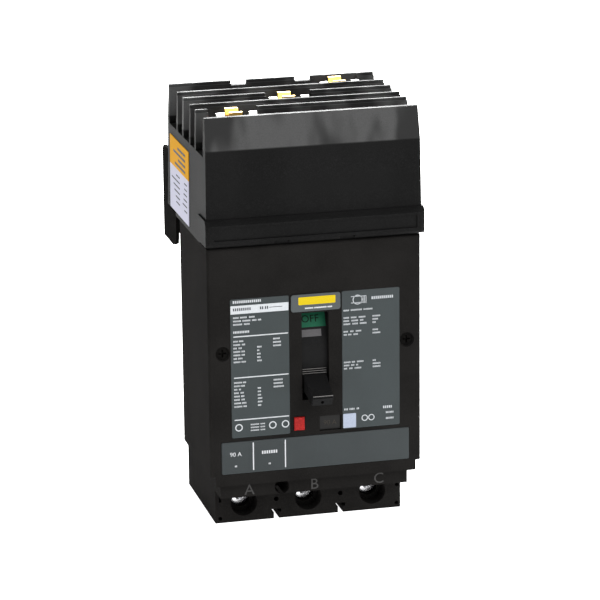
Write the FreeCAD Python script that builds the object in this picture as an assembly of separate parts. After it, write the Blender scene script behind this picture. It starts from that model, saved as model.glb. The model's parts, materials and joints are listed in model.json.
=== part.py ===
# Three-pole molded case breaker with a plug-on line end.
#
# X runs across the poles, Y from the operating face to the back, Z up from the load end.
# Depths are measured back from the front face of the cover. At export everything is moved
# so that the origin is the middle of the bottom of the whole breaker's box.
import FreeCAD
import Part
import os
from math import atan2, cos, degrees, hypot, radians, sin

os.makedirs("parts", exist_ok=True)

V = FreeCAD.Vector
X_AXIS = V(1, 0, 0)

# ---- driving dimensions, mm -------------------------------------------------------------
POLE_PITCH = 35.0
POLES = (("a", -POLE_PITCH), ("b", 0.0), ("c", POLE_PITCH))
WALL = 3.0
THIN = 2.5

CASE_HALF = 56.6          # half width of the case
REAR_HALF = 50.5          # half width of its narrower rear and load end
SEAM_Y = 14.5             # cover meets base here
WIDE_REAR_Y = 66.0        # the wide part of the base ends here
REAR_Y = 85.5             # mounting face of the base
CASE_TOP = 154.4
CASE_FOOT = 32.0          # lower end of the wide case
LIP_FOOT = 26.5           # lower end of the lip under the rating strip
LIP_HALF = 53.8
STRIP_Y = 5.0             # phase strip, set back under the lip
STRIP_FOOT = 18.2
LOAD_FRONT_Y = 18.3       # front of the load end
LOAD_TOP = 36.0
DIVIDER_X = POLE_PITCH / 2
DIVIDER_T = 2.4

SLOT_HALF_W = 7.2         # toggle slot
SLOT_LOW = 70.0
SLOT_HIGH = 117.0
TOGGLE_PIVOT = (46.0, 93.8)
TOGGLE_TILT = 18.0        # degrees below level when off
SHUTTER_R = 43.2
SHUTTER_SPREAD = 52.5     # degrees each side of the handle
HANDLE_TIP_R = 63.5
YOKE_R = 38.5

BAR_PITCH = 29.9          # depth pitch of the stacked bus bars
BAR_Y = {"a": 19.0, "b": 19.0 + BAR_PITCH, "c": 19.0 + 2 * BAR_PITCH}
BAR_GAP = 6.5
TOP = 222.0
DECK = 201.5              # floor of the bus bar slots
CHAMFER_Z = 205.6
HOUSING_FOOT = 156.2
COLLAR_Y = -4.5
COLLAR_HALF = 57.8
COLLAR_TOP = 169.9
FINS = (22.4, 35.4, 52.4, 66.9)
FIN_T = 3.5
JAW_GAP_HALF = 12.2

CROSSBAR = (60.0, 86.0)
CROSSBAR_R = 6.0
OPEN_ANGLE = 30.0
LEVER_R = 9.0
LEVER_ANGLE = 140.0
CRADLE_PIVOT = (22.0, 112.0)
LINK_TOP = (34.0, 104.0)
LATCH_PIN = (24.0, 68.0)
KNEE = (41.0, 93.0)
TRIP_BAR = (40.0, 64.0)
TRIP_BAR_R = 3.0

LUG_Z = 10.2              # height of the wire-binding screws
LUG_Y = (33.0, 63.9)
WIRE_Y = 49.0
ARMATURE_PIVOT = (48.8, 50.0)
ARMATURE_PIN_R = 1.1
WIRE_R = 6.3
ACCESS_R = 7.15
ACCESS_Y = 27.5           # the driver holes narrow here
WIRE_SCREW_R = 4.0
STRAP_Y = 78.5            # front of the line straps on the base floor
HOLD_DOWN = (-DIVIDER_X, 22.0)
BUTTON = (-9.0, 57.5)
SPRING_SEAT_Y = 13.9      # the button's spring rests against a seat in the cover
BRACKET_Y = 93.8
BRACKET_REAR = 106.3
BRACKET_HALF = 56.9
RIDGE_OUT = 0.5           # grip ridges stand out of the handle's tip
RIDGE_TOP = 2.4
FRONT_REACH = TOGGLE_PIVOT[0] - (HANDLE_TIP_R + RIDGE_OUT) * cos(radians(TOGGLE_TILT))
FRONT_REACH -= RIDGE_TOP * sin(radians(TOGGLE_TILT))
ORIGIN_Y = (BRACKET_REAR + FRONT_REACH) / 2

# ---- screws, pins and fits, mm ----------------------------------------------------------
FIT = 0.05                # radial clearance of a pin or screw in its hole
SCREW_R = 1.55            # shanks of the cover, case and bracket screws
SCREW_CLEAR_R = 1.9
COVER_BOSS_R = 4.2
BRACKET_SCREWS = [(x, 166.0) for x in (-42.0, 42.0)]
TOGGLE_PIN_R = 2.0
CROSSBAR_NECK_R = 4.5
LINK_PIN_R = 1.5
KNEE_PIN_R = 0.95
FRAME_X = (14.0, 15.5)    # inner and outer faces of the mechanism's side frames
STRAP_HALF = 8.0
STRAP_HOLE_HALF = 9.2
PLATE_T = 0.5             # printed plates on the cover
PLATE_CORNER = 0.8


# ---- helpers ----------------------------------------------------------------------------
def box(x0, x1, y0, y1, z0, z1):
    return Part.makeBox(x1 - x0, y1 - y0, z1 - z0, V(x0, y0, z0))


def cyl_y(x, z, r, y0, y1):
    return Part.makeCylinder(r, y1 - y0, V(x, y0, z), V(0, 1, 0))


def cyl_x(point, r, x0, x1):
    return Part.makeCylinder(r, x1 - x0, V(x0, point[0], point[1]), X_AXIS)


def cyl_z(x, y, r, z0, z1):
    return Part.makeCylinder(r, z1 - z0, V(x, y, z0), V(0, 0, 1))


def prism(points, x0, x1):
    """A polygon in depth and height, run across from x0 to x1."""
    corners = [V(x0, y, z) for y, z in points]
    wire = Part.makePolygon(corners + corners[:1])
    return Part.Face(wire).extrude(V(x1 - x0, 0, 0))


def both_sides(make, inner, outer):
    return [make(inner, outer), make(-outer, -inner)]


def fuse(shapes):
    result = shapes[0].fuse(shapes[1:]) if len(shapes) > 1 else shapes[0]
    return result.removeSplitter()


def cut(shape, tools):
    result = shape.cut(tools) if tools else shape
    return result.removeSplitter()


def turned(shape, point, angle):
    """The shape turned about an axis across the poles; a plus angle takes back to up."""
    copy = shape.copy()
    copy.rotate(V(0, point[0], point[1]), X_AXIS, angle)
    return copy


def plate(x0, x1, z0, z1, y0, y1, corner):
    """A flat plate in the operating face with rounded corners."""
    body = box(x0, x1, y0, y1, z0, z1)
    return body.makeFillet(corner, [e for e in body.Edges if runs_along(e, 1)])


def runs_along(edge, axis):
    a, b = edge.Vertexes[0].Point, edge.Vertexes[-1].Point
    step = [abs(b[i] - a[i]) for i in range(3)]
    return step[axis] > 0.01 and sum(step) - step[axis] < 0.01


def save(name, shapes):
    solids = [s for shape in shapes for s in shape.Solids]
    moved = [s.translated(V(0, -ORIGIN_Y, 0)) for s in solids]
    for solid in moved:
        if not solid.isValid():
            raise ValueError(name + " is not a valid solid")
    result = moved[0] if len(moved) == 1 else Part.makeCompound(moved)
    result.exportStep("parts/" + name + ".step")
    print(name, len(moved), round(sum(s.Volume for s in moved)))


# ---- case -------------------------------------------------------------------------------
COVER_SCREWS = [(x, 98.4) for x in (-49.1, 49.1)]
CASE_SCREWS = [(x, z) for x in (-50.6, 50.6) for z in (44.0, 146.0)]
LABELS = {"left_label": (-44.9, -13.9, 52.4, 127.1), "right_label": (14.3, 45.2, 52.4, 127.1)}
NAME_PLATE = (-12.9, 13.4, 117.9, 127.1)
RATING_WINDOW = (2.1, 13.4, 52.6, 60.4)
RATING_STRIP = (-50.6, 50.2, 33.0, 50.4)
BUTTON_SIZE = (5.6, 7.2)


def front_cover():
    shell = box(-CASE_HALF, CASE_HALF, 0, SEAM_Y, CASE_FOOT, CASE_TOP)
    edges = [e for e in shell.Edges if e.BoundBox.YMax < 0.01 and runs_along(e, 2)]
    edges += [e for e in shell.Edges if e.BoundBox.ZMin > CASE_TOP - 0.01 and e.BoundBox.YMax < 0.01]
    shell = shell.makeFillet(1.6, edges)
    lip = box(-LIP_HALF, LIP_HALF, 0, SEAM_Y, LIP_FOOT, CASE_FOOT)
    strip = box(-REAR_HALF, REAR_HALF, STRIP_Y, LOAD_FRONT_Y, STRIP_FOOT, LIP_FOOT)
    body = fuse([shell, lip, strip])
    inside = CASE_HALF - THIN
    hollow = box(-inside, inside, THIN, SEAM_Y, CASE_FOOT + THIN, CASE_TOP - THIN)
    behind = box(-REAR_HALF + THIN, REAR_HALF - THIN, STRIP_Y + THIN, LOAD_FRONT_Y, 21.0, LOAD_TOP)
    body = cut(body, [hollow, behind])
    bosses = [cyl_y(x, z, COVER_BOSS_R, 0.5, SEAM_Y) for x, z in COVER_SCREWS]
    bosses += [cyl_y(x, z, 3.0, 0.5, SEAM_Y) for x, z in CASE_SCREWS]
    ribs = []
    for z0, z1 in ((30.0, 50.0), (121.0, CASE_TOP - 1.0)):
        for x in (-DIVIDER_X, DIVIDER_X):
            ribs.append(box(x - 1.0, x + 1.0, 1.0, SEAM_Y, z0, z1))
    hold_boss = cyl_y(HOLD_DOWN[0], HOLD_DOWN[1], 5.2, STRIP_Y, LOAD_FRONT_Y)
    keep = box(-REAR_HALF, REAR_HALF, STRIP_Y, LOAD_FRONT_Y, STRIP_FOOT, LIP_FOOT)
    x, z = BUTTON
    seat = [box(x + 4.3, x + 5.3, 1.0, SEAM_Y, z - 4.2, z + 4.2)]
    seat.append(box(x - 1.0, x + 5.3, SPRING_SEAT_Y, SEAM_Y, z - 3.4, z + 3.4))
    body = fuse([body] + bosses + ribs + seat + [hold_boss.common(keep)])
    cuts = [box(-SLOT_HALF_W, SLOT_HALF_W, -1, 8, SLOT_LOW, SLOT_HIGH)]
    for x0, x1, z0, z1 in LABELS.values():
        cuts.append(plate(x0 - 0.1, x1 + 0.1, z0 - 0.1, z1 + 0.1, -1, PLATE_T, PLATE_CORNER))
    x0, x1, z0, z1 = RATING_WINDOW
    cuts.append(box(x0 - 0.1, x1 + 0.1, -1, 2.0, z0 - 0.1, z1 + 0.1))
    x0, x1, z0, z1 = RATING_STRIP
    cuts.append(plate(x0 - 0.15, x1 + 0.15, z0 - 0.15, z1 + 0.15, -1, 1.0, PLATE_CORNER))
    w, h = BUTTON_SIZE
    x, z = BUTTON
    cuts.append(box(x - w / 2 - 0.25, x + w / 2 + 0.25, -1, 9, z - h / 2 - 0.25, z + h / 2 + 0.25))
    for x, z in COVER_SCREWS:
        cuts.append(cyl_y(x, z, 3.9, -1, 1.0))
        cuts.append(cyl_y(x, z, 3.45, 0, 4.2))
        cuts.append(cyl_y(x, z, 2.1, 3, SEAM_Y + 1))
    for x, z in CASE_SCREWS:
        cuts.append(cyl_y(x, z, SCREW_R + FIT, 4.0, SEAM_Y + 1))
    cuts.append(cyl_y(HOLD_DOWN[0], HOLD_DOWN[1], 3.9, STRIP_Y - 1, LOAD_FRONT_Y + 1))
    return cut(body, cuts)


def base_housing():
    wide = box(-CASE_HALF, CASE_HALF, SEAM_Y, WIDE_REAR_Y, CASE_FOOT, CASE_TOP)
    heel = prism([(SEAM_Y, LIP_FOOT), (WIDE_REAR_Y - 3, CASE_FOOT), (SEAM_Y, CASE_FOOT)], -LIP_HALF, LIP_HALF)
    narrow = box(-REAR_HALF, REAR_HALF, LOAD_FRONT_Y, REAR_Y, 0, CASE_TOP)
    body = fuse([wide, heel, narrow])
    wide_in = CASE_HALF - WALL
    rear_in = REAR_HALF - WALL
    hollows = [box(-wide_in, wide_in, SEAM_Y, WIDE_REAR_Y - WALL, LOAD_TOP, CASE_TOP - WALL)]
    hollows.append(box(-rear_in, rear_in, LOAD_FRONT_Y, REAR_Y - WALL, LOAD_TOP, CASE_TOP - WALL))
    hollows.append(box(-rear_in, rear_in, SEAM_Y, LOAD_FRONT_Y + 6, 28.0, LOAD_TOP + 1))
    for _, x in POLES:
        hollows.append(box(x - 12, x + 12, LUG_Y[0] - 2, 66.6, 2.0, LOAD_TOP + 1))
    body = cut(body, hollows)
    dividers = []
    for x in (-DIVIDER_X, DIVIDER_X):
        wall = box(x - DIVIDER_T / 2, x + DIVIDER_T / 2, SEAM_Y + 0.1, REAR_Y - 1, 20, CASE_TOP - 1)
        slots = [box(x - 5, x + 5, SEAM_Y - 1, LOAD_FRONT_Y + 0.1, 19, LOAD_TOP)]
        for (y, z), r in ((CROSSBAR, CROSSBAR_R + 0.6), (TRIP_BAR, TRIP_BAR_R + FIT)):
            slots.append(cyl_x((y, z), r, x - 5, x + 5))
            slots.append(box(x - 5, x + 5, SEAM_Y - 1, y, z - r, z + r))
        dividers.append(cut(wall, slots))
    bosses = [cyl_y(x, z, COVER_BOSS_R, SEAM_Y, WIDE_REAR_Y - 1) for x, z in COVER_SCREWS]
    bosses += [cyl_y(x, z, 3.2, SEAM_Y, WIDE_REAR_Y - 1) for x, z in CASE_SCREWS]
    body = fuse([body] + dividers + bosses)
    cuts = []
    for _, x in POLES:
        cuts.append(cyl_y(x, LUG_Z, ACCESS_R, LOAD_FRONT_Y - 1, ACCESS_Y))
        cuts.append(cyl_y(x, LUG_Z, WIRE_SCREW_R + 1.0, ACCESS_Y - 1, LUG_Y[0]))
        cuts.append(cyl_z(x, WIRE_Y, WIRE_R + 1.5, -1, 3))
        left, right = x - STRAP_HOLE_HALF, x + STRAP_HOLE_HALF
        cuts.append(box(left, right, STRAP_Y - 3, REAR_Y - WALL, CASE_TOP - 5, CASE_TOP + 1))
    for x in (-DIVIDER_X, DIVIDER_X):
        cuts.append(box(x - 1.4, x + 1.4, LOAD_FRONT_Y - 1, REAR_Y + 1, -1, 5.2))
        cuts.append(box(x - 2.6, x + 2.6, LOAD_FRONT_Y - 1, REAR_Y + 1, 3.4, 5.2))
        cuts.append(cyl_y(x, 10.7, 1.3, LOAD_FRONT_Y - 1, LOAD_FRONT_Y + 5))
    for x, z in ((-48.0, 2.4), (48.4, 2.4), (48.6, 12.6)):
        cuts.append(cyl_y(x, z, 1.1, LOAD_FRONT_Y - 1, LOAD_FRONT_Y + 4))
    cuts.append(box(-48.6, -47.4, LOAD_FRONT_Y - 1, LOAD_FRONT_Y + 4, 11.5, 18.6))
    cuts.append(cyl_y(HOLD_DOWN[0], HOLD_DOWN[1], 3.0, LOAD_FRONT_Y - 1, REAR_Y + 1))
    cuts.append(cyl_y(HOLD_DOWN[0], HOLD_DOWN[1], 3.9, LOAD_FRONT_Y - 1, LOAD_FRONT_Y + 9))
    for x, z in COVER_SCREWS:
        cuts.append(cyl_y(x, z, SCREW_R + FIT, SEAM_Y - 1, 40))
    for x, z in CASE_SCREWS:
        cuts.append(cyl_y(x, z, SCREW_CLEAR_R, SEAM_Y - 1, WIDE_REAR_Y))
        cuts.append(cyl_y(x, z, 2.9, WIDE_REAR_Y - 3.4, WIDE_REAR_Y + 1))
    return cut(body, cuts)


def flat_plates():
    for name, (x0, x1, z0, z1) in LABELS.items():
        save(name, [plate(x0, x1, z0, z1, 0.0, PLATE_T, PLATE_CORNER)])
    x0, x1, z0, z1 = NAME_PLATE
    save("name_plate", [plate(x0, x1, z0, z1, -0.7, 0.0, 1.4)])
    x0, x1, z0, z1 = RATING_WINDOW
    save("rating_window", [box(x0, x1, 1.2, 2.0, z0, z1)])
    x0, x1, z0, z1 = RATING_STRIP
    save("rating_strip", [plate(x0, x1, z0, z1, -0.2, 1.0, PLATE_CORNER)])


def cross_head_screw(x, z, head_y, head_r, head_t, shank_r, tip_y):
    head = cyl_y(x, z, head_r, head_y, head_y + head_t)
    shank = cyl_y(x, z, shank_r, head_y + head_t - 0.1, tip_y)
    slot = head_r * 0.62
    cross = [box(x - slot, x + slot, head_y - 1, head_y + 1.2, z - 0.45, z + 0.45)]
    cross.append(box(x - 0.45, x + 0.45, head_y - 1, head_y + 1.2, z - slot, z + slot))
    return cut(fuse([head, shank]), cross)


def case_screw(x, z):
    head = cyl_y(x, z, 2.8, WIDE_REAR_Y - 3.3, WIDE_REAR_Y - 0.8)
    shank = cyl_y(x, z, SCREW_R, 5.0, WIDE_REAR_Y - 3.2)
    socket = box(x - 1.6, x + 1.6, WIDE_REAR_Y - 2.0, WIDE_REAR_Y, z - 0.4, z + 0.4)
    return cut(fuse([head, shank]), [socket])


# ---- plug-on line housing ---------------------------------------------------------------
def rectangle(half, y0, y1, z):
    corners = [V(-half, y0, z), V(half, y0, z), V(half, y1, z), V(-half, y1, z)]
    return Part.makePolygon(corners + corners[:1])


def housing_block(grow):
    """The tapered outside of the line housing, grown outwards or shrunk by an amount."""
    foot = rectangle(57.0 + grow, -1.0 - grow, 93.5 + grow, HOUSING_FOOT)
    waist = rectangle(56.4 + grow, 0.0 - grow, 92.4 + grow, CHAMFER_Z)
    top = rectangle(55.9 + grow, 3.0 - grow, 91.5 + grow, TOP)
    return Part.makeLoft([foot, waist, top], True, True)


def housing_body():
    outside = housing_block(0.0)
    low = box(-70, 70, -20, 120, 0, DECK - WALL)
    body = cut(outside, [housing_block(-THIN).common(low)])
    slots = []
    faces = [5.8]
    for y in FINS:
        slots.append(box(-70, 70, faces[-1], y, DECK, TOP + 1))
        faces.append(y + FIN_T)
    slots.append(box(-70, 70, faces[-1], 88.2, DECK, TOP + 1))
    for y in FINS:
        slots.append(box(-70, 70, y - 0.1, y + 1.8, TOP - 1.5, TOP + 1))
    slots.append(box(-70, 70, 88.1, 89.9, TOP - 1.5, TOP + 1))
    foot = [box(-55.4, 55.4, 1.6, SEAM_Y, CASE_TOP, HOUSING_FOOT + 1.2)]
    foot.append(box(-57.0, 57.0, SEAM_Y, 74.0, CASE_TOP, HOUSING_FOOT + 1.2))
    foot.append(box(-54.7, 54.7, 74.0, 93.5, CASE_TOP, HOUSING_FOOT + 1.2))
    body = fuse([body] + foot)
    for _, x in POLES:
        left, right = x - STRAP_HOLE_HALF, x + STRAP_HOLE_HALF
        slots.append(box(left, right, STRAP_Y - 3, STRAP_Y + 6, CASE_TOP - 1, HOUSING_FOOT + 2))
    for name, x in POLES:
        y = BAR_Y[name]
        slots.append(box(x - JAW_GAP_HALF, x + JAW_GAP_HALF, y - 8.0, y + 8.0, DECK - 9, DECK + 1))
    slots.append(box(-POLE_PITCH - 14.5, -POLE_PITCH + 11.5, FINS[0] - 1, FINS[0] + 4, DECK, TOP + 1))
    slots.append(box(-JAW_GAP_HALF, JAW_GAP_HALF, FINS[2] - 1, FINS[2] + 4, DECK, TOP + 1))
    slots.append(box(POLE_PITCH - 12.2, POLE_PITCH + 11.5, 88.0, 90.0, DECK, TOP + 1))
    for x0 in (-22.5, 12.4):
        slots.append(box(x0, x0 + 8.6, 88.0, 94.0, TOP - 2.2, TOP + 1))
    return cut(body, slots)


def collar():
    profile = [(COLLAR_Y, 157.6), (COLLAR_Y, 167.4), (-1.2, COLLAR_TOP), (SEAM_Y, COLLAR_TOP)]
    profile += [(SEAM_Y, HOUSING_FOOT), (COLLAR_Y + 1.4, HOUSING_FOOT)]
    body = prism(profile, -COLLAR_HALF, COLLAR_HALF)
    corners = [e for e in body.Edges if runs_along(e, 2) and e.BoundBox.YMax < COLLAR_Y + 0.01]
    body = body.makeFillet(1.5, corners)
    panel = box(-53.6, 53.6, COLLAR_Y - 1, COLLAR_Y + 0.7, 159.4, 166.2)
    cuts = [housing_block(-THIN), panel]
    cuts.append(prism([(COLLAR_Y - 1, 166.6), (-1.0, 171), (COLLAR_Y - 1, 171)], -0.6, 1.6))
    for x in (-18.0, 16.5):
        cuts.append(box(x - 4, x + 4, COLLAR_Y - 1, COLLAR_Y + 2.4, HOUSING_FOOT - 1, 157.7))
    return cut(body, cuts)


def line_housing():
    body = housing_body()
    front_half = box(-80, 80, -20, SEAM_Y, 0, 300)
    rear_half = box(-80, 80, SEAM_Y, 200, 0, 300)
    front = fuse([body.common(front_half), collar()])
    rear = body.common(rear_half)
    for x, z in BRACKET_SCREWS:
        rear = cut(rear, [cyl_y(x, z, SCREW_R + FIT, 80, 100)])
    save("line_housing_front", [front])
    save("line_housing_rear", [rear])
    skin = housing_block(0.3).cut(housing_block(0.02))
    save("side_label", [skin.common(box(-60, -50, 39.5, 86.0, 157.0, 196.5))])


def rear_bracket():
    ear = [(BRACKET_Y, 186.5), (103.4, 186.5), (BRACKET_REAR, 183.6), (BRACKET_REAR, 136.2)]
    ear += [(83.0, 136.2), (76.0, 138.6), (74.6, 143.8), (74.6, 155.6), (BRACKET_Y, 155.6)]
    shapes = both_sides(lambda a, b: prism(ear, a, b), BRACKET_HALF - 1.8, BRACKET_HALF)
    shapes.append(box(-BRACKET_HALF, BRACKET_HALF, BRACKET_Y, BRACKET_Y + 1.8, 139.4, 186.5))
    body = fuse(shapes)
    window = box(-38, 38, BRACKET_Y - 1, BRACKET_Y + 3, 146.0, 158.5)
    holes = [cyl_y(x, z, SCREW_CLEAR_R, BRACKET_Y - 1, BRACKET_Y + 3) for x, z in BRACKET_SCREWS]
    return cut(body, [window] + holes)


def bracket_screws():
    shapes = []
    for x, z in BRACKET_SCREWS:
        head = cyl_y(x, z, 3.1, BRACKET_Y + 1.8, BRACKET_Y + 4.0)
        shank = cyl_y(x, z, SCREW_R, 84.0, BRACKET_Y + 1.9)
        groove = box(x - 2.2, x + 2.2, BRACKET_Y + 3.0, BRACKET_Y + 5, z - 0.5, z + 0.5)
        shapes.append(cut(fuse([head, shank]), [groove]))
    return shapes


# ---- line conductors --------------------------------------------------------------------
JAW_TOP = 219.6
JAW_FOOT = 176.0
FINGER_T = 2.2


def jaw_fingers(x, y):
    """Two fingers each side of the bus bar, rooted in one block."""
    near = BAR_GAP / 2
    root = box(x - 10.2, x + 11.2, y - near - FINGER_T, y + near + FINGER_T, JAW_FOOT, JAW_FOOT + 8)
    shapes = [root]
    for x0, x1 in ((x - 10.2, x - 5.8), (x + 7.0, x + 11.2)):
        for side in (-1, 1):
            a = side * near
            b = side * (near + FINGER_T)
            c = side * (near + 1.0)
            blade = [(y + a, JAW_FOOT + 4), (y + a, JAW_TOP - 3), (y + c, JAW_TOP), (y + b, JAW_TOP)]
            blade.append((y + b, JAW_FOOT + 4))
            shapes.append(prism(blade, x0, x1))
    return fuse(shapes)


def jaw_block(x, y, side):
    """A brass guide beside the bus bar, on its front or rear side, stands above the fingers."""
    near = BAR_GAP / 2
    far = near + FINGER_T + 0.5
    rows = [(near, JAW_FOOT + 8), (near, TOP - 3), (near + 1.2, TOP), (far, TOP), (far, JAW_FOOT + 8)]
    return prism([(y + side * d, z) for d, z in rows], x - 5.6, x + 1.2)


def jaw_springs(x, y):
    """Leaf springs that press the fingers onto the bar."""
    near = BAR_GAP / 2 + FINGER_T
    shapes = []
    for side in (-1, 1):
        rows = [(near, JAW_FOOT + 3), (near, JAW_TOP - 8), (near + 0.7, JAW_TOP - 8)]
        rows += [(near + 0.9, JAW_TOP - 20), (near + 0.7, JAW_FOOT + 3)]
        leaf = [(y + side * d, z) for d, z in rows]
        for x0, x1 in ((x - 9.9, x - 6.1), (x + 7.3, x + 10.9)):
            shapes.append(prism(leaf, x0, x1))
    return shapes


def line_strap(x, y):
    """Copper from the jaw down to the fixed contact on the base floor."""
    t = 3.0
    bend_z = 160.5
    up = box(x - STRAP_HALF, x + STRAP_HALF, y - t / 2, y + t / 2, bend_z, JAW_FOOT)
    down = box(x - STRAP_HALF, x + STRAP_HALF, STRAP_Y, STRAP_Y + t, 110.0, bend_z + t)
    y0 = min(y - t / 2, STRAP_Y)
    across = box(x - STRAP_HALF, x + STRAP_HALF, y0, STRAP_Y + t, bend_z, bend_z + t)
    return fuse([up, across, down])


# ---- mechanism --------------------------------------------------------------------------
def polar(centre, r, angle):
    """A point at an angle above the straight-forward direction."""
    return (centre[0] - r * cos(radians(angle)), centre[1] + r * sin(radians(angle)))


def ring_sector(r0, r1, a0, a1, x0, x1):
    """Part of a tube about the toggle pivot, between two angles above straight forward."""
    mid = (a0 + a1) / 2
    p = [polar(TOGGLE_PIVOT, r, a) for r, a in ((r0, a0), (r0, mid), (r0, a1), (r1, a1), (r1, mid), (r1, a0))]
    q = [V(x0, y, z) for y, z in p]
    edges = [Part.Arc(q[0], q[1], q[2]).toShape(), Part.makeLine(q[2], q[3])]
    edges += [Part.Arc(q[3], q[4], q[5]).toShape(), Part.makeLine(q[5], q[0])]
    return Part.Face(Part.Wire(edges)).extrude(V(x1 - x0, 0, 0))


def toggle_handle():
    """Drawn level, then tilted down to the off position."""
    y, z = TOGGLE_PIVOT
    tip_y = y - HANDLE_TIP_R
    root = rectangle_xz(6.4, 4.0, y - YOKE_R, z - 1.2)
    neck = rectangle_xz(6.2, 4.0, y - SHUTTER_R - 2, z - 1.1)
    tip = rectangle_xz(5.3, 2.9, tip_y, z - 0.7)
    body = Part.makeLoft([root, neck, tip], True, True)
    ridges = []
    for low in (0.1, RIDGE_TOP - 0.8):
        ridges.append(box(-5.5, 5.5, tip_y - RIDGE_OUT, tip_y + 3.0, z + low, z + low + 0.8))
    hole = cyl_y(0, z - 1.9, 0.9, tip_y - 1, tip_y + 4)
    body = cut(fuse([body] + ridges), [hole])
    return turned(body, TOGGLE_PIVOT, TOGGLE_TILT)


def rectangle_xz(half_x, half_z, y, z):
    corners = [V(-half_x, y, z - half_z), V(half_x, y, z - half_z)]
    corners += [V(half_x, y, z + half_z), V(-half_x, y, z + half_z)]
    return Part.makePolygon(corners + corners[:1])


def toggle_shutter(handle):
    low = -TOGGLE_TILT - SHUTTER_SPREAD
    high = -TOGGLE_TILT + SHUTTER_SPREAD
    arc = ring_sector(SHUTTER_R - 1.4, SHUTTER_R, low, high, -8.6, 8.6)
    steps = []
    for k in range(3):
        a = -TOGGLE_TILT + 4.0 + 1.3 * k
        steps.append(ring_sector(SHUTTER_R - 0.1, SHUTTER_R + 1.5 - 0.5 * k, a, a + 0.8, -6.6, 6.6))
    return cut(fuse([arc] + steps), [handle])


def flag(first, last, right=6.9):
    a = -TOGGLE_TILT + first
    b = -TOGGLE_TILT + last
    return ring_sector(SHUTTER_R, SHUTTER_R + 0.14, a, b, -6.9, right)


def toggle_yoke():
    y, z = TOGGLE_PIVOT
    arm = [(y + 3, z - 3.4), (y + 3, z + 3.4), (y - YOKE_R, z + 5.0), (y - YOKE_R, z - 5.0)]
    arms = both_sides(lambda a, b: prism(arm, a, b), 12.0, 13.5)
    bridge = box(-13.5, 13.5, y - YOKE_R, y - YOKE_R + 2.2, z - 5.0, z + 5.0)
    pins = both_sides(lambda a, b: cyl_x((y, z), TOGGLE_PIN_R, a, b), 13.4, 15.6)
    hooks = [box(x - 0.7, x + 0.7, y - YOKE_R + 2, y - YOKE_R + 4.2, z - 2, z + 2) for x in (-3.5, 3.5)]
    return turned(fuse(arms + [bridge] + pins + hooks), TOGGLE_PIVOT, TOGGLE_TILT)


def coil(centre_x, y0, y1, z, radius, wire, turns):
    """A helical spring lying front to back."""
    height = y1 - y0
    helix = Part.makeHelix(height / turns, height, radius)
    start = helix.Vertexes[0].Point
    circle = Part.Wire([Part.makeCircle(wire, start, V(0, 1, 0))])
    body = Part.Wire(helix.Edges).makePipeShell([circle], True, True)
    body.rotate(V(0, 0, 0), X_AXIS, -90)
    body.translate(V(centre_x, y0, z))
    return body


def main_springs():
    y, z = TOGGLE_PIVOT
    shapes = [coil(x, y - YOKE_R + 5.0, y - 9.0, z, 1.5, 0.35, 11) for x in (-3.5, 3.5)]
    return [turned(s, TOGGLE_PIVOT, TOGGLE_TILT) for s in shapes]


def side_frames():
    outline = [(14, 82), (14, 104), (20, 116), (52, 116), (64, 106), (REAR_Y - WALL, 106)]
    outline += [(REAR_Y - WALL, 98), (68, 98), (68, 72), (REAR_Y - WALL, 72), (REAR_Y - WALL, 66)]
    outline += [(64, 66), (58, 59), (32, 59), (20, 66)]
    holes = [(TOGGLE_PIVOT, TOGGLE_PIN_R + FIT), (CROSSBAR, CROSSBAR_NECK_R + FIT)]
    holes += [(CRADLE_PIVOT, LINK_PIN_R + FIT), (TRIP_BAR, TRIP_BAR_R + 0.4)]

    def one(a, b):
        return cut(prism(outline, a, b), [cyl_x(p, r, a - 1, b + 1) for p, r in holes])

    return both_sides(one, *FRAME_X)


def cradle():
    k, u, t = CRADLE_PIVOT, LINK_TOP, LATCH_PIN
    outline = [(k[0] - 4, k[1] + 3), (k[0] + 4, k[1] + 3.5), (u[0] + 3.2, u[1] + 2.5), (u[0] + 2.5, u[1] - 3)]
    outline += [(k[0] + 5, 92), (t[0] + 3, t[1] + 4), (t[0] + 2.4, t[1] - 2.6)]
    outline += [(t[0] - 2.4, t[1] - 2.6), (t[0] - 3, 90), (k[0] - 4.4, k[1] - 6)]
    plates = both_sides(lambda a, b: prism(outline, a, b), 5.5, 7.0)
    shaft = cyl_x(k, LINK_PIN_R, -15.6, 15.6)
    latch = cyl_x(t, LINK_PIN_R, -11.0, 11.0)
    pins = both_sides(lambda a, b: cyl_x(u, LINK_PIN_R, a, b), 5.5, 11.6)
    return fuse(plates + [shaft, latch] + pins)


def link(a, b, x0, x1):
    """A flat bar with round ends from a pivot pin to the knee pin, one each side."""
    angle = degrees(atan2(b[1] - a[1], b[0] - a[0]))
    length = hypot(b[0] - a[0], b[1] - a[1])
    bar = [(a[0], a[1] - 2.6), (a[0] + length, a[1] - 2.6), (a[0] + length, a[1] + 2.6), (a[0], a[1] + 2.6)]

    def one(p, q):
        parts = [turned(prism(bar, p, q), a, angle), cyl_x(a, 2.6, p, q), cyl_x(b, 2.6, p, q)]
        pivot_hole = cyl_x(a, LINK_PIN_R + FIT, p - 1, q + 1)
        knee_hole = cyl_x(b, KNEE_PIN_R + FIT, p - 1, q + 1)
        return cut(fuse(parts), [pivot_hole, knee_hole])

    return both_sides(one, x0, x1)


def lever_pin():
    y, z = CROSSBAR
    return (y + LEVER_R * cos(radians(LEVER_ANGLE)), z + LEVER_R * sin(radians(LEVER_ANGLE)))


def moving_blade(x):
    """Drawn closed on the fixed contact, then swung open."""
    outline = [(55.0, 91.5), (54.6, 83.0), (61.0, 79.5), (67.0, 84.0), (75.0, 108.0), (75.0, 121.0)]
    outline += [(70.6, 121.0), (69.6, 110.0)]
    return turned(prism(outline, x - 2.5, x + 2.5), CROSSBAR, OPEN_ANGLE)


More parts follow.
